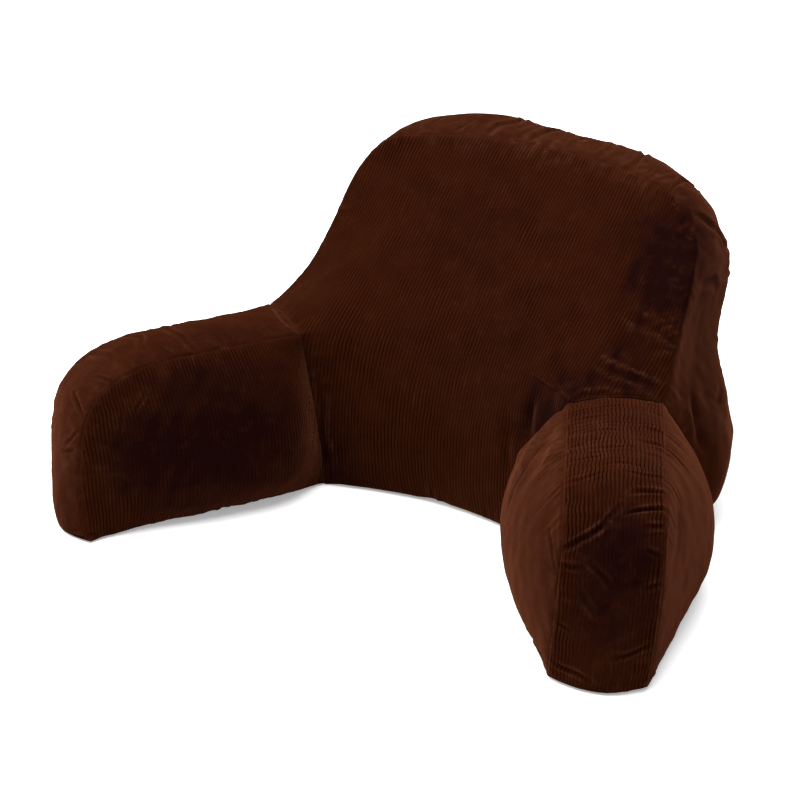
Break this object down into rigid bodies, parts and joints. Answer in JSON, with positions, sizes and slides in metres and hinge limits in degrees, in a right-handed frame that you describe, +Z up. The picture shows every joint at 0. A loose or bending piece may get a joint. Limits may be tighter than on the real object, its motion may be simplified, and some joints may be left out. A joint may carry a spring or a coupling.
{
  "type": "reading cushion with arms",
  "caption": "Corduroy bed-rest cushion: a leaning, bell-shaped padded back with splayed, box-sided padded arms, flat underneath to stand on a bed or floor.",
  "frame": {"origin": "middle of the cushion's outline, on the surface that it stands on", "axes": "+X across the cushion, towards the arm_right side; -Y forwards, the way the arms point; +Z up"},
  "size_m": [0.8576, 0.6898, 0.4051],
  "materials": {
    "back": "dark brown wide-wale corduroy, soft pile with a slight sheen",
    "arm_left": "dark brown wide-wale corduroy, soft pile with a slight sheen",
    "arm_right": "dark brown wide-wale corduroy, soft pile with a slight sheen"
  },
  "bodies": {
    "root": {"back": "back", "arm_left": "arm_left", "arm_right": "arm_right"}
  },
  "joints": []
}
